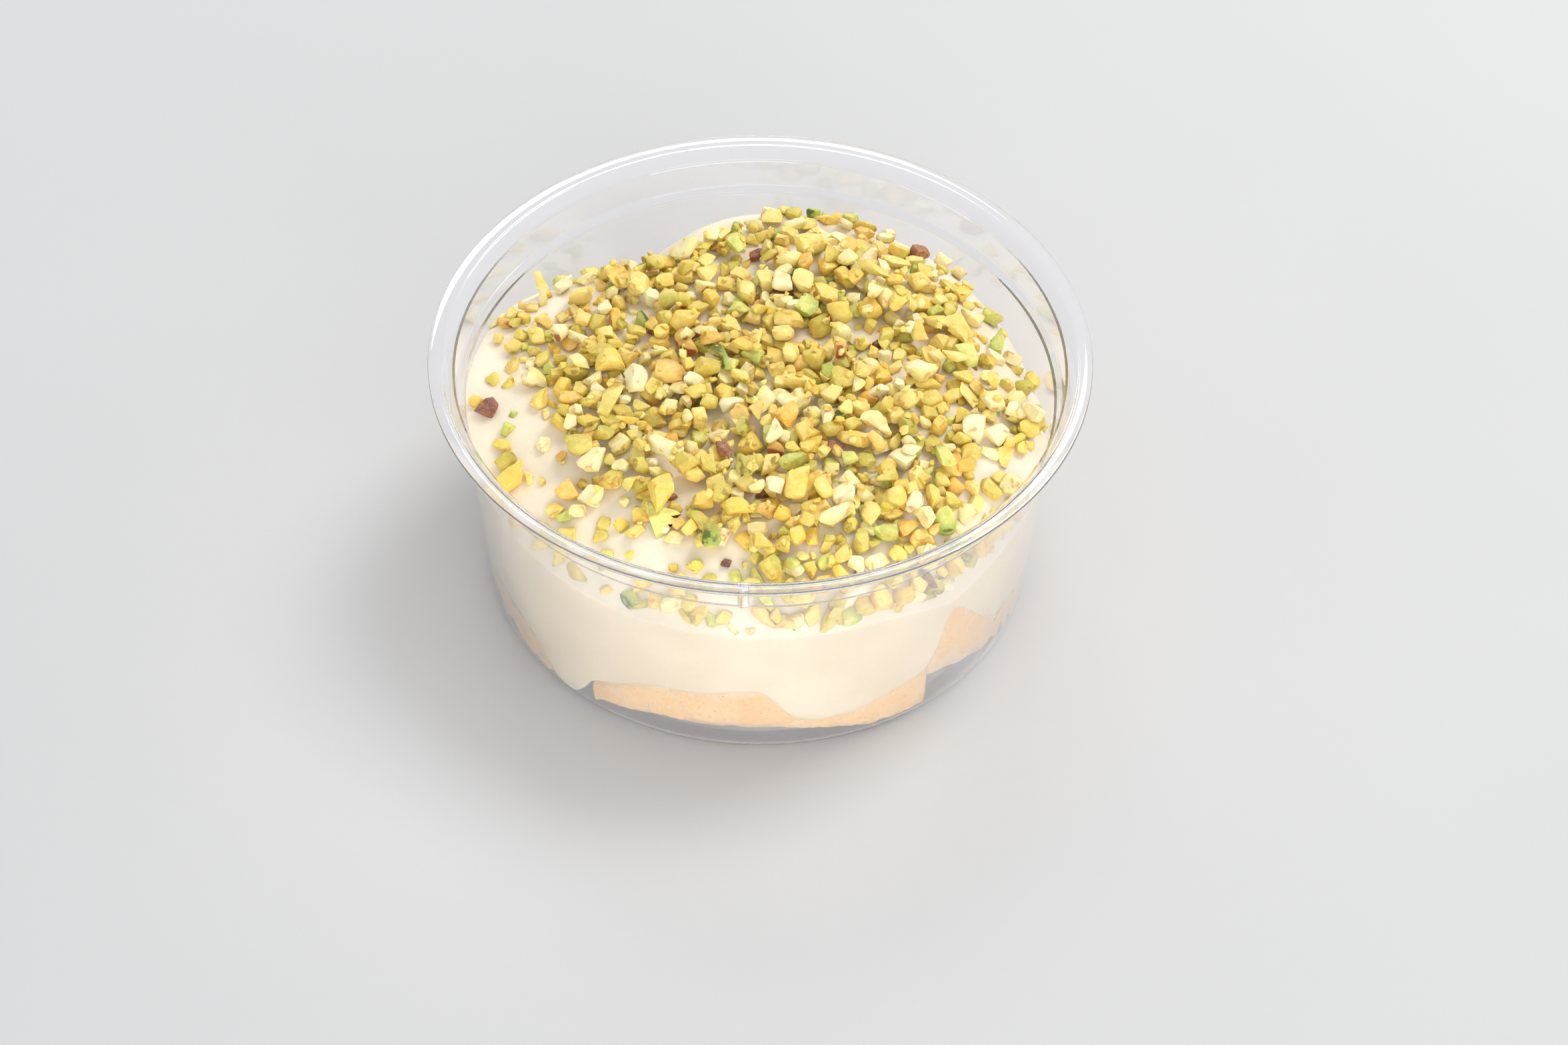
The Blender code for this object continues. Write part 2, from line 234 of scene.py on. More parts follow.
def build_tub(material):
    """Turned clear shell, with a small upright rib under the front of its flange."""
    outline = tub_outline()
    angles = tub_angles()
    beside = np.abs((angles - RIB_AZIMUTH + 180.0) % 360.0 - 180.0)
    rib = 1.0 - smooth((beside - 0.6) / 0.45)
    rings = []
    for k, point in enumerate(outline[1:-1]):
        r, z = point
        outside = k < len(outline) // 2
        push = RIB_DEPTH if outside and LEDGE[1] + 0.6 * MM < z < HEIGHT - 0.9 * MM else 0.0
        reach = np.minimum(r + push * rib, RIM_RADIUS - 0.1 * MM)
        reach = np.maximum(reach, r)
        rings.append(polar(reach, angles, z))
    columns = len(angles)
    points = [np.array([[0.0, 0.0, BASE_LIFT], [0.0, 0.0, FLOOR]])] + rings
    faces = ring_faces(len(rings), columns, first=2)
    last = 2 + (len(rings) - 1) * columns
    for k in range(columns):
        n = (k + 1) % columns
        faces.append((0, 2 + n, 2 + k))
        faces.append((1, last + k, last + n))
    return mesh_object("tub_shell", np.concatenate(points), faces, material)


# ---------------------------------------------------------------- cream

def folds(x, y):
    """Relief left by the spoon: fine folds behind the crown and a lip along the back."""
    azimuth = np.degrees(np.arctan2(x, y))
    radius = np.hypot(x, y)
    patch = np.exp(-((x + 4.0 * MM) / (10.0 * MM)) ** 2 - ((y - 32.0 * MM) / (6.0 * MM)) ** 2)
    slant = 0.80 * y - 0.60 * x
    fine = 0.55 * MM * patch * np.sin(slant / (0.75 * MM) + 1.4 * np.sin(x / (3.0 * MM)))
    back = np.exp(-((azimuth - 2.0) / 24.0) ** 4)
    groove = -0.8 * MM * back * np.exp(-((radius - 42.5 * MM) / (1.3 * MM)) ** 2)
    lip = 0.7 * MM * back * np.exp(-((radius - 45.5 * MM) / (2.2 * MM)) ** 2)
    return fine + groove + lip


def dome_height(azimuth, share):
    """Upper face of the cream; share is 0 on the axis and 1 at the wall."""
    edge = curve(WALL_LINE, azimuth) * MM
    power = curve(SHOULDER, azimuth)
    radius = share * contact_radius(edge)
    x, y, _ = np.moveaxis(polar(radius, azimuth, 0.0), -1, 0)
    crown = DOME_HEIGHT - 2.4 * MM * (np.hypot(x, y - DOME_OFFSET) / RIM_RADIUS) ** 2
    dome = edge + (crown - edge) * (1.0 - share ** power) ** 0.62
    slope = SLOPE_HEIGHT + curve(SLOPE_LINE, azimuth) * MM - radius
    lowered = -SLOPE_BLEND * np.logaddexp(-dome / SLOPE_BLEND, -slope / SLOPE_BLEND)
    return np.maximum(lowered, edge - 0.4 * MM * (1.0 - share)) + folds(x, y)


def surface_height(x, y):
    """Height of the cream at any place inside the tub, close enough to rest things on."""
    azimuth = np.degrees(np.arctan2(x, -y))
    edge = curve(WALL_LINE, azimuth) * MM
    share = np.clip(np.hypot(x, y) / contact_radius(edge), 0.0, 1.0)
    return dome_height(azimuth, share)


def build_cream(material):
    """Dome, side against the wall, and a rolled lower lip over the sponge."""
    azimuths = np.arange(-180.0, 180.0, 1.0)
    edge = curve(WALL_LINE, azimuths) * MM
    foot = np.minimum(curve(LOWER_LINE, azimuths) * MM, edge - 0.8 * MM)
    rings = []
    for share in 1.0 - (1.0 - np.linspace(0.02, 1.0, 90)) ** 1.35:
        radius = share * contact_radius(edge)
        ring = polar(radius, azimuths, dome_height(azimuths, np.full_like(azimuths, share)))
        calm = min(1.0, 6.0 * (1.0 - share))
        ring[:, 2] += calm * 0.28 * MM * field(ring, 11.0 * MM, 3)
        rings.append(ring)
    for t in np.linspace(0.04, 1.0, 22):
        z = edge + (foot - edge) * t
        rings.append(polar(contact_radius(z), azimuths, z))
    for inset, drop in ((0.10, 0.18), (0.35, 0.38), (0.8, 0.50), (1.5, 0.42), (2.6, 0.0)):
        z = foot - drop * MM
        rings.append(polar(contact_radius(foot) - inset * MM, azimuths, z))
    for t in np.linspace(0.15, 0.97, 8):
        radius = (contact_radius(foot) - 2.6 * MM) * (1.0 - t)
        rings.append(polar(radius, azimuths, foot + (FLOOR + 8.0 * MM - foot) * t))
    columns = len(azimuths)
    top = [0.0, 0.0, float(dome_height(np.array(0.0), np.array(0.0)))]
    points = [np.array([top, [0.0, 0.0, FLOOR + 8.0 * MM]])] + rings
    last = 2 + (len(rings) - 1) * columns
    faces = [tuple(reversed(f)) for f in ring_faces(len(rings), columns, first=2)]
    for k in range(columns):
        n = (k + 1) % columns
        faces.append((0, 2 + k, 2 + n))
        faces.append((1, last + n, last + k))
    return mesh_object("cream_body", np.concatenate(points), faces, material)


# ---------------------------------------------------------------- sponge

# Ends, inner radius, upper and lower edge at the wall in mm, and raggedness of each piece
SPONGES = {
    "front": dict(
        ends=(-36.6, 37.6), inner=24.0 * MM, rough=0.30 * MM,
        top=((-37, 7.6), (-34, 8.8), (-30, 11.0), (-24, 13.8), (-18, 15.2), (-10, 15.8),
             (-4, 17.0), (0, 17.4), (6, 16.4), (14, 14.4), (24, 13.2), (32, 13.0), (38, 13.4)),
        under=((-37, 1.9), (-32, 3.0), (-25, 4.2), (-15, 5.4), (-5, 5.9), (5, 5.4), (12, 4.0),
               (18, 2.6), (24, 1.3), (30, 0.8), (38, 0.8))),
    "right": dict(
        ends=(37.6, 177.0), inner=5.0 * MM, rough=0.42 * MM,
        top=((37, 20.0), (39, 26.0), (41, 29.0), (44, 28.4), (48, 24.8), (52, 20.4),
             (58, 15.6), (70, 14.6), (120, 15.4), (168, 14.4), (177, 8.4)),
        under=((37, 7.6), (42, 6.3), (46, 4.9), (52, 3.3), (58, 1.9), (64, 0.8), (177, 0.8))),
    "left": dict(
        ends=(-177.0, -48.0), inner=5.0 * MM, rough=0.35 * MM,
        top=((-177, 8.0), (-168, 14.0), (-130, 15.0), (-90, 14.0), (-66, 14.6), (-56, 12.4),
             (-48, 8.8)),
        under=((-177, 0.8), (-48, 0.8)))}


def sponge_loop(spec, azimuth, count):
    """One cross-section: flat against the wall, rounded edges, thinner towards the ends."""
    high = float(curve(spec["top"], azimuth)) * MM
    low = float(curve(spec["under"], azimuth)) * MM
    first, last = spec["ends"]
    from_end = min(azimuth - first, last - azimuth) * math.radians(1.0) * 48.0 * MM
    end = math.sqrt(max(1e-4, 1.0 - (1.0 - min(1.0, from_end / (0.9 * MM))) ** 2))
    turn = np.linspace(0.0, 2.0 * math.pi, count, endpoint=False)
    side = np.sign(np.cos(turn)) * np.abs(np.cos(turn)) ** 0.15
    rise = np.sign(np.sin(turn)) * np.abs(np.sin(turn)) ** 0.45
    share = 0.5 * (1.0 + side)
    inset = (1.0 - share) * 0.045
    reach = smooth(inset / 0.012)
    upper = high + (LAYER_HEIGHT - high) * reach
    lower = low + (FLOOR - low) * smooth(inset / 0.008)
    middle = 0.5 * (upper + lower)
    half = 0.5 * (upper - lower) * (0.72 + 0.28 * end)
    z = middle + half * rise
    wide = 0.5 + (share - 0.5) * (0.88 + 0.12 * end)
    radius = spec["inner"] + (contact_radius(z) - spec["inner"]) * wide
    return polar(radius, azimuth, z)


def build_sponge(key, material):
    """Loft one sponge piece, roughen it and press it flat on the wall and the base."""
    spec = SPONGES[key]
    first, last = spec["ends"]
    count = 96
    steps = int((last - first) / 0.55)
    ease = np.linspace(0.0, 1.0, steps)
    loops = np.array([sponge_loop(spec, first + (last - first) * t, count) for t in ease])
    centre = loops.mean(axis=1, keepdims=True)
    away = loops - centre
    away /= np.maximum(np.linalg.norm(away, axis=-1, keepdims=True), 1e-9)
    shift = field(loops, 3.2 * MM, 4) * spec["rough"] + field(loops, 0.9 * MM, 2, 7.0) * 0.12 * MM
    loops = loops + away * shift[..., None]
    radius = np.hypot(loops[..., 0], loops[..., 1])
    limit = contact_radius(loops[..., 2]) - 0.07 * MM
    scale = np.minimum(1.0, limit / radius)
    loops[..., :2] *= scale[..., None]
    loops[..., 2] = np.maximum(loops[..., 2], floor_height(radius * scale) - 0.05 * MM)
    faces = [tuple(reversed(f)) for f in ring_faces(steps, count)]
    faces += [tuple(reversed(range(count))), tuple(range((steps - 1) * count, steps * count))]
    name = f"sponge_{key}_piece"
    return mesh_object(name, loops, faces, material)


# ---------------------------------------------------------------- pistachio

def unit_directions(cuts):
    """Evenly spread directions and the faces that join them: a rounded, divided cube."""
    bm = bmesh.new()
    bmesh.ops.create_cube(bm, size=2.0)
    bmesh.ops.subdivide_edges(bm, edges=bm.edges[:], cuts=cuts, use_grid_fill=True)
    points = np.array([v.co for v in bm.verts])
    points = np.tan(points * math.pi / 4.0)
    faces = [tuple(v.index for v in f.verts) for f in bm.faces]
    bm.free()
    return unit(points), faces


def unit(vectors):
    return vectors / np.maximum(np.linalg.norm(vectors, axis=-1, keepdims=True), 1e-12)


def random_turn(rng, tilt):
    """Turn a flat chip about the upright and lean it by about tilt degrees."""
    spin = Matrix.Rotation(rng.uniform(0.0, 2.0 * math.pi), 3, "Z")
    heading = rng.uniform(0.0, 2.0 * math.pi)
    axis = Vector((math.cos(heading), math.sin(heading), 0.0))
    return np.array(Matrix.Rotation(math.radians(rng.normal(0.0, tilt)), 3, axis) @ spin)


class Chip:
    """One chopped piece of kernel: flat knife cuts, and at times part of the round outside."""

    EDGE = 15.0             # how sharply the faces meet

    def __init__(self, rng, size, sliver=False):
        shape = [1.0, rng.uniform(0.55, 0.92), rng.uniform(0.32, 0.68)]
        if sliver:
            shape = [rng.uniform(1.7, 2.2), rng.uniform(0.45, 0.7), rng.uniform(0.3, 0.45)]
        self.half = 0.5 * size * np.array(shape)
        axes = np.concatenate([np.eye(3), -np.eye(3)])
        faces = unit(axes + rng.normal(0.0, 0.27, (6, 3)))
        corners = unit(rng.normal(size=(rng.integers(4, 9), 3)) / self.half ** 0.5)
        depths = np.abs(faces) @ self.half * rng.uniform(0.78, 1.0, 6)
        depths = np.minimum(depths, np.tile(self.half, 2) * 1.12)
        reach = np.abs(corners) @ self.half * rng.uniform(0.60, 0.82, len(corners))
        self.planes = np.concatenate([faces, corners]) / np.concatenate([depths, reach])[:, None]
        outward = unit(rng.normal(size=3))
        extent = float(np.abs(outward) @ self.half)
        showing = rng.uniform() < 0.42
        under = extent * rng.uniform(0.35, 0.75) if showing else extent + rng.uniform(0.1, 2.5) * MM
        self.kernel_radius = rng.uniform(3.6, 6.0) * MM + max(0.0, under - 3.0 * MM)
        self.kernel = outward * (under - self.kernel_radius)
        self.waves = rng.normal(size=(7, 3)) * np.repeat([1.9, 4.0], [4, 3])[:, None]
        self.phases = rng.uniform(0.0, 2.0 * math.pi, 7)
        self.tone = rng.uniform()
        self.turn = np.eye(3)
        self.place = np.zeros(3)

    def kernel_hit(self, directions):
        """Distance to the kernel's outside along each direction."""
        along = directions @ self.kernel
        inner = self.kernel_radius ** 2 - self.kernel @ self.kernel
        return along + np.sqrt(along ** 2 + inner)

    def faces_ahead(self, directions):
        """For each direction the planes it can meet, as vectors whose product is 1 / distance."""
        hit = self.kernel_hit(directions)[:, None] * directions
        normal = (hit - self.kernel) / self.kernel_radius
        bowl = normal / np.einsum("ij,ij->i", normal, hit)[:, None]
        flat = np.broadcast_to(self.planes, (len(directions), *self.planes.shape))
        return np.concatenate([flat, bowl[:, None]], axis=1)

    def onto_edges(self, directions, spacing):
        """Move directions that pass close to an edge or a corner onto it."""
        rows = np.arange(len(directions))
        for _ in range(2):
            ahead = self.faces_ahead(directions)
            meets = np.einsum("ijk,ik->ij", ahead, directions)
            order = np.argsort(-meets, axis=1)
            first, second, third = (ahead[rows, order[:, k]] for k in range(3))
            across = first - second
            size = np.linalg.norm(across, axis=1)
            gap = np.einsum("ij,ij->i", across, directions) / size
            near = gap < 0.55 * spacing
            moved = directions - np.where(near, gap / size, 0.0)[:, None] * across
            corner = np.cross(first - second, first - third)
            corner = unit(corner) * np.sign(np.einsum("ij,ij->i", corner, directions))[:, None]
            at_corner = np.linalg.norm(corner - directions, axis=1) < 0.5 * spacing
            directions = unit(np.where(at_corner[:, None], corner, moved))
        return directions

    def outline(self, template, snap=True):
        """Points of the chip about its centre, their depth in the kernel, nearness to an edge."""
        directions = unit(template * self.half ** 0.7)
        if snap:
            spacing = math.sqrt(4.0 * math.pi / len(template))
            directions = self.onto_edges(directions, spacing)
        ahead = self.faces_ahead(directions)
        meets = np.maximum(np.einsum("ijk,ik->ij", ahead, directions), 0.0)
        top = meets.max(axis=1)
        radius = ((meets / top[:, None]) ** self.EDGE).sum(axis=1) ** (-1.0 / self.EDGE) / top
        points = directions * radius[:, None]
        ripple = np.sin(points / self.half @ self.waves.T + self.phases)
        points = points * (1.0 + 0.05 * ripple[:, :4].sum(axis=1) / 2.0
                           + 0.02 * ripple[:, 4:].sum(axis=1) / 2.0)[:, None]
        depth = self.kernel_radius - np.linalg.norm(points - self.kernel, axis=1)
        edge = (np.partition(meets, -2, axis=1)[:, -2] / top) ** 6
        return points @ self.turn.T, depth, edge

    def aim(self, turn, template):
        self.turn = turn
        self.rough = self.outline(template, snap=False)[0]

    def span(self, x, y):
        """Lowest and highest point of the chip over each place, relative to its centre."""
        low = np.full_like(x, -1.0)
        high = np.full_like(x, 1.0)
        for a, b, c in self.planes @ self.turn.T:
            rest = (1.0 - a * x - b * y) / c
            if c > 0.0:
                high = np.minimum(high, rest)
            else:
                low = np.maximum(low, rest)
        centre = self.turn @ self.kernel
        root = self.kernel_radius ** 2 - (x - centre[0]) ** 2 - (y - centre[1]) ** 2
        inside = root > 0.0
        root = np.sqrt(np.maximum(root, 0.0))
        low = np.maximum(low, centre[2] - root)
        high = np.minimum(high, centre[2] + root)
        return low, high, inside & (low < high)


class Pile:
    """Height map of the cream and what already lies on it; chips come to rest on it."""

    CELL = 0.25 * MM

    def __init__(self):
        self.edge = 54.0 * MM
        axis = np.arange(-self.edge, self.edge, self.CELL)
        self.x, self.y = np.meshgrid(axis, axis, indexing="ij")
        self.cream = surface_height(self.x, self.y)
        self.height = self.cream.copy()

    def index(self, x, y):
        return int((x + self.edge) / self.CELL), int((y + self.edge) / self.CELL)

    def window(self, x, y, reach):
        i, j = self.index(x, y)
        n = int(reach / self.CELL) + 2
        size = self.height.shape[0]
        return (slice(max(i - n, 0), min(i + n + 1, size)),
                slice(max(j - n, 0), min(j + n + 1, size)))

    def rest(self, chip, x, y, sink, ground):
        """Height at which the chip's centre comes to rest on the ground over x, y."""
        part = self.window(x, y, np.linalg.norm(chip.half))
        low, _, inside = chip.span(self.x[part] - x, self.y[part] - y)
        gaps = (ground[part] - low)[inside]
        if len(gaps) == 0:
            return None
        touch = min(3, len(gaps))
        return float(np.partition(gaps, -touch)[-touch]) - sink

    def lay(self, chip, x, y, z):
        part = self.window(x, y, np.linalg.norm(chip.half))
        _, high, inside = chip.span(self.x[part] - x, self.y[part] - y)
        covered = np.maximum(self.height[part], high + z)
        self.height[part] = np.where(inside, covered, self.height[part])
        chip.place = np.array([x, y, z])

    def slope(self, x, y):
        """Upward normal of the cream at a place."""
        i, j = self.index(x, y)
        n = 3
        dx = (self.cream[i + n, j] - self.cream[i - n, j]) / (2 * n * self.CELL)
        dy = (self.cream[i, j + n] - self.cream[i, j - n]) / (2 * n * self.CELL)
        return Vector((-dx, -dy, 1.0)).normalized()

    def raised(self, x, y, z):
        return z - self.cream[self.index(x, y)]


def lean_to(normal, turn, share):
    """Turn a chip part of the way towards the slope that it lies on."""
    up = Vector((0.0, 0.0, 1.0))
    target = up.lerp(normal, share).normalized()
    return np.array(up.rotation_difference(target).to_matrix()) @ turn


def hollow(x, y, depth, spot, size):
    """Share left of the chips at x, y, where they are thinner about a spot."""
    return 1.0 - depth * math.exp(-((x - spot[0]) / size[0]) ** 2 - ((y - spot[1]) / size[1]) ** 2)


def density(x, y):
    """How thickly the chips lie, 0 to 1."""
    x, y = x / MM, y / MM
    thick = 1.0 - 0.50 * float(smooth((math.hypot(x - 3.0, y - 3.0) - 34.0) / 12.0))
    thick *= hollow(x, y, 0.80, (-45.0, -20.0), (12.0, 19.0))
    thick *= hollow(x, y, 0.65, (-27.0, -42.0), (12.0, 8.0))
    thick *= hollow(x, y, 0.85, (-6.0, 30.5), (5.0, 3.0))
    if -22.0 < x < 0.0:
        thick *= 1.0 - float(smooth((y - 41.5 - 0.6 * x) / 1.5))
    thick *= hollow(x, y, 0.60, (45.0, 18.0), (7.0, 16.0))
    thick *= hollow(x, y, 0.45, (38.0, -12.0), (8.0, 10.0))
    return thick


def heap_limit(x, y):
    """How far above the cream the middle of a chip may lie: less along the ridge at the back."""
    behind = math.copysign(math.hypot(x, y), y)
    return (4.4 - 2.8 * float(smooth((behind - 32.0 * MM) / (10.0 * MM)))) * MM


def settle(pile, chip, x, y, sink, ground):
    """Rest a chip near x, y, moved inwards where the wall is in its way."""
    for _ in range(4):
        z = pile.rest(chip, x, y, sink, ground)
        if z is None:
            return None
        points = chip.rough + np.array([x, y, z])
        if points[:, 2].max() > HEIGHT - 0.6 * MM:
            return None
        beyond = float((np.hypot(points[:, 0], points[:, 1]) - inner_radius(points[:, 2])).max())
        if beyond <= 0.12 * MM:
            return x, y, z
        pull = 1.0 - (beyond + 0.05 * MM) / math.hypot(x, y)
        x, y = x * pull, y * pull
    return None


def gutter_chips(pile, rng, template):
    """The row of chips that has slid down to the wall along the front."""
    chips = []
    azimuth = -60.0
    while azimuth < 60.0:
        size = rng.uniform(2.6, 3.9) * MM
        chip = Chip(rng, size)
        chip.aim(random_turn(rng, 32.0), template)
        angle = math.radians(azimuth)
        radius = (50.4 + rng.uniform(-0.6, 0.2)) * MM
        sink = rng.uniform(1.0, 2.6) * MM
        spot = settle(pile, chip, radius * math.sin(angle), -radius * math.cos(angle), sink,
                      pile.cream)
        if spot:
            pile.lay(chip, *spot)
            chips.append(chip)
        spread = 1.5 if azimuth < -26.0 else 0.74
        azimuth += math.degrees(size / radius) * spread * rng.uniform(0.85, 1.15)
    return chips


def strewn_chips(pile, rng, template, count):
    """Chips dropped all over the cream, each into the lowest place near where it falls."""
    chips = []
    while len(chips) < count:
        angle = rng.uniform(0.0, 2.0 * math.pi)
        radius = 50.0 * MM * math.sqrt(rng.uniform())
        x, y = radius * math.cos(angle), radius * math.sin(angle)
        if rng.uniform() > density(x, y) or density(x, y) < 0.06:
            continue
        size = float(np.clip(rng.lognormal(math.log(2.72), 0.26), 1.5, 4.6)) * MM
        chip = Chip(rng, size, sliver=rng.uniform() < 0.03)
        steep = 36.0 if rng.uniform() < 0.07 else 10.0
        chip.aim(lean_to(pile.slope(x, y), random_turn(rng, steep), 0.9), template)
        best = None
        for _ in range(9):
            tx, ty = rng.normal((x, y), 1.4 * MM)
            if density(tx, ty) < 0.1:
                continue
            spot = settle(pile, chip, tx, ty, 0.45 * MM, pile.height)
            if spot and pile.raised(*spot) < heap_limit(tx, ty) and (
                    best is None or pile.raised(*spot) < pile.raised(*best)):
                best = spot
        if best is None:
            continue
        pile.lay(chip, *best)
        chips.append(chip)
    return chips


def crumbs(pile, rng, template, count):
    """Small crumbs over and between the chips."""
    found = []
    while len(found) < count:
        angle = rng.uniform(0.0, 2.0 * math.pi)
        radius = 45.0 * MM * math.sqrt(rng.uniform())
        x, y = radius * math.cos(angle), radius * math.sin(angle)
        chip = Chip(rng, rng.uniform(0.6, 1.5) * MM)
        chip.aim(random_turn(rng, 30.0), template)
        spot = settle(pile, chip, x, y, 0.1 * MM, pile.height)
        if spot and rng.uniform() < 0.3 + 0.7 * density(x, y):
            pile.lay(chip, *spot)
            found.append(chip)
    return found


def join_chips(name, chips, template, faces, material):
    """One mesh for all chips of a kind, with their tone and depth kept as attributes."""
    points, tones, depths, edges, quads = [], [], [], [], []
    for k, chip in enumerate(chips):
        outline, depth, edge = chip.outline(template)
        points.append(outline + chip.place)
        tones.append(np.full(len(outline), chip.tone))
        depths.append(depth / MM)
        edges.append(edge)
        quads += [tuple(k * len(template) + v for v in f) for f in faces]
    item = mesh_object(name, np.concatenate(points), quads, material)
    item.data.set_sharp_from_angle(angle=math.radians(42.0))
    for label, values in (("tone", tones), ("depth", depths), ("edge", edges)):
        attribute = item.data.attributes.new(label, "FLOAT", "POINT")
        attribute.data.foreach_set("value", np.concatenate(values).astype(np.float32))
    return item


# Share of the chips in each kind
NUT_KINDS = (("yellow", 0.28), ("golden", 0.16), ("pale", 0.22), ("olive", 0.19), ("green", 0.07),
             ("toasted", 0.065), ("skin", 0.016))
# The same for the row along the front wall: a greener mix, and darker as painted shade from the
# wall and the rim over it
SHADED_GUTTER_SHARES = (0.24, 0.08, 0.14, 0.36, 0.13, 0.05, 0.0)


def build_nuts(materials):
    rng = np.random.default_rng(SEED)
    pile = Pile()
    rough = unit_directions(3)[0]
    row = gutter_chips(pile, rng, rough)
    chips = row + strewn_chips(pile, rng, rough, 1080)
    names = [kind for kind, _ in NUT_KINDS]
    shares = np.array([share for _, share in NUT_KINDS])
    picks = rng.choice(len(names), size=len(chips), p=shares / shares.sum())
    # The row along the wall takes the darker mix: painted shade under the rim, partly greener
    # kernels
    picks[:len(row)] = rng.choice(len(names), size=len(row), p=SHADED_GUTTER_SHARES)
    fine = unit_directions(6)
    pieces = []
    for index, kind in enumerate(names):
        own = [chip for chip, pick in zip(chips, picks) if pick == index]
        pieces.append(join_chips(f"nuts_{kind}", own, *fine, materials[kind]))
    small = crumbs(pile, rng, rough, 240)
    pieces.append(join_chips("nuts_crumbs", small, *unit_directions(2), materials["yellow"]))
    return pieces


# ---------------------------------------------------------------- materials

class Nodes:
    """Short ways to add and join the nodes of one material."""

    def __init__(self, name):
        self.material = bpy.data.materials.new(name)
        self.material.use_nodes = True
        self.tree = self.material.node_tree
        self.shader = self.tree.nodes["Principled BSDF"]
        self.output = self.tree.nodes["Material Output"]
        self.place = self.add("ShaderNodeTexCoord").outputs["Object"]

    def add(self, kind, **settings):
        node = self.tree.nodes.new(kind)
        for key, value in settings.items():
            setattr(node, key, value)
        return node

    def link(self, source, target):
        self.tree.links.new(source, target)

    def value(self, socket, number):
        self.shader.inputs[socket].default_value = number

    def noise(self, size, detail=3.0, roughness=0.5, distortion=0.0):
        node = self.add("ShaderNodeTexNoise")
        node.inputs["Scale"].default_value = 1.0 / size
        node.inputs["Detail"].default_value = detail
        node.inputs["Roughness"].default_value = roughness
        node.inputs["Distortion"].default_value = distortion
        self.link(self.place, node.inputs["Vector"])
        return node.outputs["Fac"]

    def cells(self, size, randomness=1.0):
        node = self.add("ShaderNodeTexVoronoi")
        node.inputs["Scale"].default_value = 1.0 / size
        node.inputs["Randomness"].default_value = randomness
        self.link(self.place, node.inputs["Vector"])
        return node.outputs["Distance"]

    def attribute(self, name):
        return self.add("ShaderNodeAttribute", attribute_name=name).outputs["Fac"]

    def remap(self, source, low, high, to_low=0.0, to_high=1.0):
        node = self.add("ShaderNodeMapRange", interpolation_type="SMOOTHSTEP")
        for socket, number in (("From Min", low), ("From Max", high), ("To Min", to_low),
                               ("To Max", to_high)):
            node.inputs[socket].default_value = number
        self.link(source, node.inputs["Value"])
        return node.outputs["Result"]

    def math(self, kind, first, second):
        node = self.add("ShaderNodeMath", operation=kind)
        for socket, item in zip(node.inputs, (first, second)):
            if isinstance(item, (int, float)):
                socket.default_value = item
            else:
                self.link(item, socket)
        return node.outputs["Value"]

    def mix(self, factor, first, second):
        node = self.add("ShaderNodeMix", data_type="RGBA")
        for socket, item in ((node.inputs[0], factor), (node.inputs[6], first),
                             (node.inputs[7], second)):
            if isinstance(item, tuple):
                socket.default_value = (*item, 1.0)
            elif isinstance(item, (int, float)):
                socket.default_value = item
            else:
                self.link(item, socket)
        return node.outputs[2]

    def bump(self, height, strength, distance):
        node = self.add("ShaderNodeBump")
        node.inputs["Strength"].default_value = strength
        node.inputs["Distance"].default_value = distance
        self.link(height, node.inputs["Height"])
        return node.outputs["Normal"]

    def finish(self, colour, roughness, normal):
        self.link(colour, self.shader.inputs["Base Color"])
        if roughness is not None:
            self.link(roughness, self.shader.inputs["Roughness"])
        if normal is not None:
            self.link(normal, self.shader.inputs["Normal"])
        return self.material


def cream_material():
    """Whipped mascarpone: satin, slightly cloudy in tone, with a few tiny specks."""
    n = Nodes("cream")
    cloudy = n.remap(n.noise(14.0 * MM, 3.0), 0.3, 0.7)
    colour = n.mix(cloudy, (0.84, 0.735, 0.56), (0.90, 0.805, 0.635))
    speck = n.remap(n.cells(3.4 * MM), 0.030, 0.045, 1.0, 0.0)
    colour = n.mix(n.math("MULTIPLY", speck, 0.45), colour, (0.52, 0.33, 0.16))
    height = n.math("ADD", n.noise(2.2 * MM, 4.0, 0.6),
                    n.math("MULTIPLY", n.noise(0.45 * MM, 2.0), 0.35))
    roughness = n.remap(n.noise(5.0 * MM, 3.0), 0.3, 0.7, 0.36, 0.52)
    n.value("Subsurface Weight", 0.35)
    n.value("Subsurface Scale", 1.6 * MM)
    n.value("Subsurface Radius", (1.0, 0.72, 0.42))
    return n.finish(colour, roughness, n.bump(height, 0.22, 0.35 * MM))


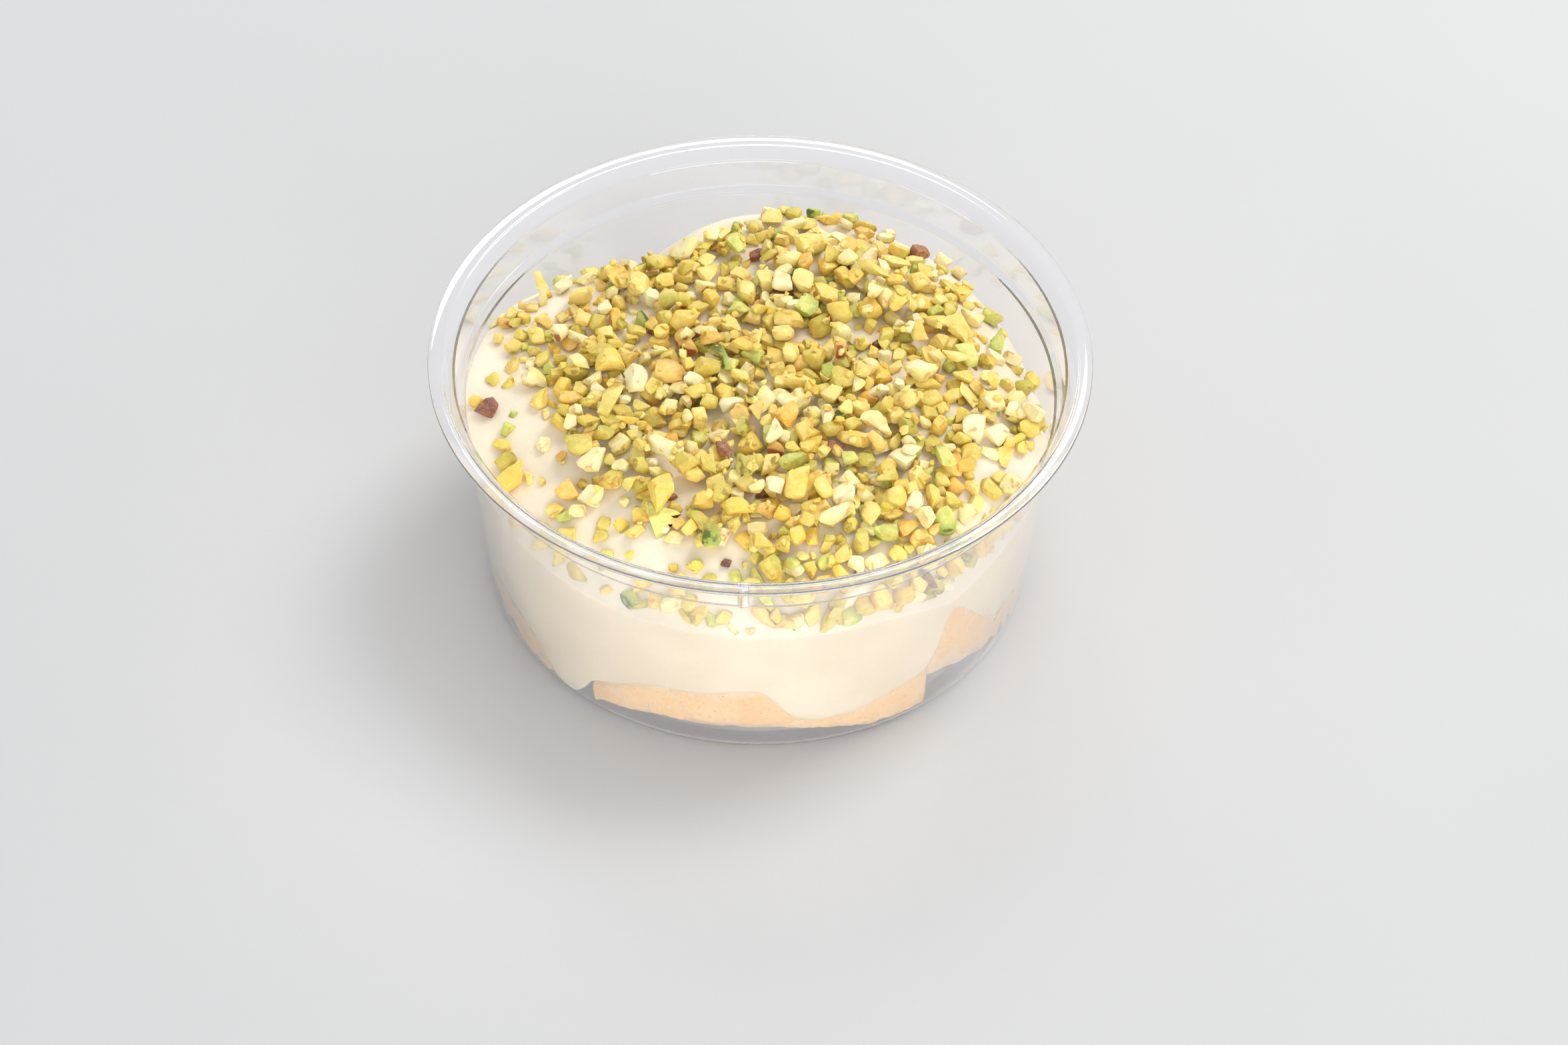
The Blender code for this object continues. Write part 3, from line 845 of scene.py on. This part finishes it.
def sponge_material():
    """Soaked sponge finger: tan and peach, fine pores darkened with painted shade, and grains of
    sugar.
    """
    n = Nodes("sponge")
    mottle = n.remap(n.noise(6.0 * MM, 4.0, 0.6), 0.32, 0.68)
    colour = n.mix(mottle, (0.93, 0.60, 0.29), (0.95, 0.69, 0.39))
    fine = n.remap(n.noise(0.8 * MM, 3.0, 0.6), 0.35, 0.65)
    colour = n.mix(n.math("MULTIPLY", fine, 0.35), colour, (0.93, 0.74, 0.50))
    shaded_pores = n.remap(n.cells(1.1 * MM), 0.08, 0.30, 1.0, 0.0)
    # Painted shade: the pores, which the bump sinks, are darkened in colour
    colour = n.mix(n.math("MULTIPLY", shaded_pores, 0.28), colour, (0.70, 0.40, 0.17))
    grains = n.remap(n.cells(0.75 * MM), 0.10, 0.16, 1.0, 0.0)
    patches = n.remap(n.noise(4.0 * MM, 2.0), 0.48, 0.60)
    sugar = n.math("MULTIPLY", grains, patches)
    colour = n.mix(n.math("MULTIPLY", sugar, 0.75), colour, (0.97, 0.90, 0.78))
    height = n.math("SUBTRACT", n.noise(1.3 * MM, 5.0, 0.65), n.math("MULTIPLY", shaded_pores, 0.5))
    height = n.math("ADD", height, n.math("MULTIPLY", sugar, 0.4))
    roughness = n.remap(n.noise(2.0 * MM, 3.0), 0.3, 0.7, 0.58, 0.86)
    n.value("Subsurface Weight", 0.2)
    n.value("Subsurface Scale", 1.2 * MM)
    n.value("Subsurface Radius", (1.0, 0.55, 0.25))
    return n.finish(colour, roughness, n.bump(height, 0.5, 0.4 * MM))


def nut_material(name, pale, deep, rim, skin, skin_share):
    """Chopped kernel: waxy cut faces, greener towards the outside, some with the thin skin on."""
    n = Nodes(name)
    depth = n.attribute("depth")
    cloud = n.noise(1.4 * MM, 3.0, 0.6)
    blend = n.math("ADD", n.math("MULTIPLY", n.attribute("tone"), 0.7),
                   n.math("MULTIPLY", n.remap(cloud, 0.32, 0.68), 0.5))
    colour = n.mix(n.remap(blend, 0.15, 1.10), pale, deep)
    greener = n.math("ADD", depth, n.math("MULTIPLY", n.noise(2.0 * MM, 2.0), 1.4))
    colour = n.mix(n.remap(greener, 0.6, 2.4, 0.9, 0.0), colour, rim)
    fibre = n.remap(n.noise(0.40 * MM, 4.0, 0.7, 1.5), 0.40, 0.70)
    colour = n.mix(n.math("MULTIPLY", fibre, 0.22), colour, (0.96, 0.88, 0.50))
    browned = n.remap(n.noise(2.6 * MM, 2.0), 0.52, 0.66)
    browned = n.math("MULTIPLY", browned, n.remap(n.attribute("edge"), 0.25, 1.0, 0.15, 0.75))
    colour = n.mix(browned, colour, (0.60, 0.30, 0.05))
    patch = n.remap(n.noise(2.2 * MM, 3.0), 0.62 - 0.3 * skin_share, 0.70 - 0.3 * skin_share)
    outside = n.remap(depth, 0.02, 0.14, 1.0, 0.0)
    colour = n.mix(n.math("MULTIPLY", outside, patch), colour, skin)
    height = n.math("ADD", n.math("MULTIPLY", n.noise(0.30 * MM, 3.0, 0.65), 0.35),
                    n.noise(0.8 * MM, 3.0, 0.6))
    roughness = n.remap(n.noise(0.7 * MM, 3.0), 0.3, 0.7, 0.36, 0.62)
    n.value("Subsurface Weight", 0.3)
    n.value("Subsurface Scale", 0.7 * MM)
    n.value("Subsurface Radius", (1.0, 0.75, 0.25))
    return n.finish(colour, roughness, n.bump(height, 0.6, 0.3 * MM))


# Pale and deep tone of the inside, tone near the outside, colour and share of the skin
NUT_COLOURS = {
    "yellow": (
        (0.96, 0.77, 0.26), (0.90, 0.62, 0.08), (0.74, 0.60, 0.08), (0.46, 0.34, 0.05), 0.4),
    "golden": (
        (0.95, 0.74, 0.22), (0.86, 0.56, 0.06), (0.66, 0.55, 0.07), (0.42, 0.28, 0.05), 0.5),
    "pale": (
        (0.97, 0.88, 0.56), (0.95, 0.79, 0.33), (0.82, 0.72, 0.20), (0.36, 0.12, 0.06), 0.3),
    "olive": (
        (0.84, 0.68, 0.17), (0.66, 0.50, 0.06), (0.50, 0.46, 0.05), (0.30, 0.22, 0.03), 0.5),
    "green": (
        (0.76, 0.74, 0.20), (0.52, 0.56, 0.09), (0.32, 0.41, 0.05), (0.12, 0.16, 0.03), 0.7),
    "toasted": (
        (0.94, 0.67, 0.20), (0.88, 0.50, 0.06), (0.64, 0.36, 0.05), (0.40, 0.10, 0.04), 0.8),
    "skin": (
        (0.42, 0.15, 0.06), (0.18, 0.035, 0.03), (0.08, 0.015, 0.02), (0.04, 0.008, 0.015), 1.6)}


def clear_material():
    """Clear pressed plastic that lets lamps through to what is in it."""
    n = Nodes("clear_plastic")
    n.value("Transmission Weight", 0.94)
    n.value("IOR", 1.42)
    n.value("Coat Weight", 0.8)
    n.value("Coat Roughness", 0.03)
    n.value("Coat IOR", 1.5)
    haze = n.remap(n.noise(9.0 * MM, 3.0), 0.3, 0.7, 0.015, 0.045)
    dust = n.remap(n.cells(5.0 * MM), 0.018, 0.030, 0.35, 0.0)
    roughness = n.math("ADD", haze, dust)
    tint = n.mix(n.noise(30.0 * MM, 1.0), (0.945, 0.942, 0.968), (0.960, 0.957, 0.978))
    height = n.noise(7.0 * MM, 2.0)
    n.finish(tint, roughness, n.bump(height, 0.03, 0.3 * MM))
    clear = n.add("ShaderNodeBsdfTransparent")
    clear.inputs["Color"].default_value = (0.985, 0.985, 0.99, 1.0)
    path = n.add("ShaderNodeLightPath")
    mix = n.add("ShaderNodeMixShader")
    n.link(path.outputs["Is Shadow Ray"], mix.inputs["Fac"])
    n.link(n.shader.outputs["BSDF"], mix.inputs[1])
    n.link(clear.outputs["BSDF"], mix.inputs[2])
    n.link(mix.outputs["Shader"], n.output.inputs["Surface"])
    return n.material


def floor_material():
    n = Nodes("pale_floor")
    colour = n.mix(n.noise(90.0 * MM, 2.0), (0.60, 0.60, 0.605), (0.63, 0.63, 0.635))
    n.value("Specular IOR Level", 0.15)
    n.value("Roughness", 0.75)
    return n.finish(colour, None, None)


# ---------------------------------------------------------------- stage

def add_floor():
    bm = bmesh.new()
    bmesh.ops.create_grid(bm, x_segments=1, y_segments=1, size=3.0)
    mesh = bpy.data.meshes.new("floor")
    bm.to_mesh(mesh)
    bm.free()
    mesh.materials.append(floor_material())
    item = bpy.data.objects.new("floor", mesh)
    bpy.context.scene.collection.objects.link(item)


def add_lamp(name, place, target, size, power, colour=(1.0, 1.0, 1.0)):
    data = bpy.data.lights.new(name, "AREA")
    data.shape = "RECTANGLE"
    data.size, data.size_y = size
    data.energy = power
    data.color = colour
    item = bpy.data.objects.new(name, data)
    item.location = place
    direction = Vector(target) - Vector(place)
    item.rotation_euler = direction.to_track_quat("-Z", "Y").to_euler()
    bpy.context.scene.collection.objects.link(item)


def add_world():
    """Soft room light, a little darker towards the left."""
    world = bpy.data.worlds.new("room")
    world.use_nodes = True
    tree = world.node_tree
    place = tree.nodes.new("ShaderNodeTexCoord")
    split = tree.nodes.new("ShaderNodeSeparateXYZ")
    ramp = tree.nodes.new("ShaderNodeMapRange")
    ramp.inputs["From Min"].default_value = -1.0
    ramp.inputs["From Max"].default_value = 0.6
    ramp.inputs["To Min"].default_value = 0.60
    ramp.inputs["To Max"].default_value = 0.80
    tree.links.new(place.outputs["Generated"], split.inputs["Vector"])
    tree.links.new(split.outputs["X"], ramp.inputs["Value"])
    background = tree.nodes["Background"]
    background.inputs["Color"].default_value = (0.97, 0.985, 1.0, 1.0)
    tree.links.new(ramp.outputs["Result"], background.inputs["Strength"])
    bpy.context.scene.world = world


def add_camera():
    """The view from in front and above, with a slight turn and roll."""
    distance, rise = 0.7674, math.radians(43.575)
    pitch, yaw, roll = math.radians(45.810), math.radians(0.4735), math.radians(0.870)
    forward = Vector((math.sin(yaw) * math.cos(pitch), math.cos(yaw) * math.cos(pitch),
                      -math.sin(pitch)))
    right = forward.cross(Vector((0.0, 0.0, 1.0))).normalized()
    up = right.cross(forward)
    turned_right = math.cos(roll) * right + math.sin(roll) * up
    turned_up = -math.sin(roll) * right + math.cos(roll) * up
    data = bpy.data.cameras.new("camera")
    data.sensor_width = 36.0
    data.lens = 100.0
    item = bpy.data.objects.new("camera", data)
    place = Vector((0.0, -distance * math.cos(rise), HEIGHT + distance * math.sin(rise)))
    turn = Matrix((turned_right, turned_up, -forward)).transposed().to_4x4()
    item.matrix_world = Matrix.Translation(place) @ turn
    bpy.context.scene.collection.objects.link(item)
    bpy.context.scene.camera = item


def build_stage():
    add_floor()
    middle = (0.0, 0.0, 0.03)
    add_lamp("key", (0.50, 0.38, 0.85), middle, (0.45, 0.45), 4.9, (1.0, 0.985, 0.96))
    add_lamp("back", (-0.12, 0.85, 0.62), middle, (0.5, 0.22), 1.6)
    add_lamp("front", (0.25, -1.10, 0.36), middle, (1.1, 0.5), 3.9)
    add_lamp("low", (0.05, -0.95, 0.11), (0.0, 0.0, 0.01), (0.9, 0.14), 2.0)
    add_lamp("left", (-0.85, -0.45, 0.22), middle, (0.5, 0.3), 0.8)
    add_world()
    add_camera()
    bpy.context.scene.view_settings.view_transform = "Standard"


def place_piece(piece, slot, *nodes):
    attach(piece, "root")
    if nodes:
        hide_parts(*nodes)


def main():
    place_piece(build_tub(clear_material()), "clear_plastic", "tub")
    place_piece(build_cream(cream_material()), "cream", "cream")
    sponge = sponge_material()
    for key in SPONGES:
        place_piece(build_sponge(key, sponge), "sponge", f"sponge_{key}")
    nuts = {kind: nut_material(f"nut_{kind}", *NUT_COLOURS[kind]) for kind, _ in NUT_KINDS}
    slots = {"green": "nut_green", "toasted": "nut_brown", "skin": "nut_brown"}
    for piece in build_nuts(nuts):
        kind = piece.name.split("_")[1]
        place_piece(piece, slots.get(kind, "nut_yellow"))
    build_stage()


main()
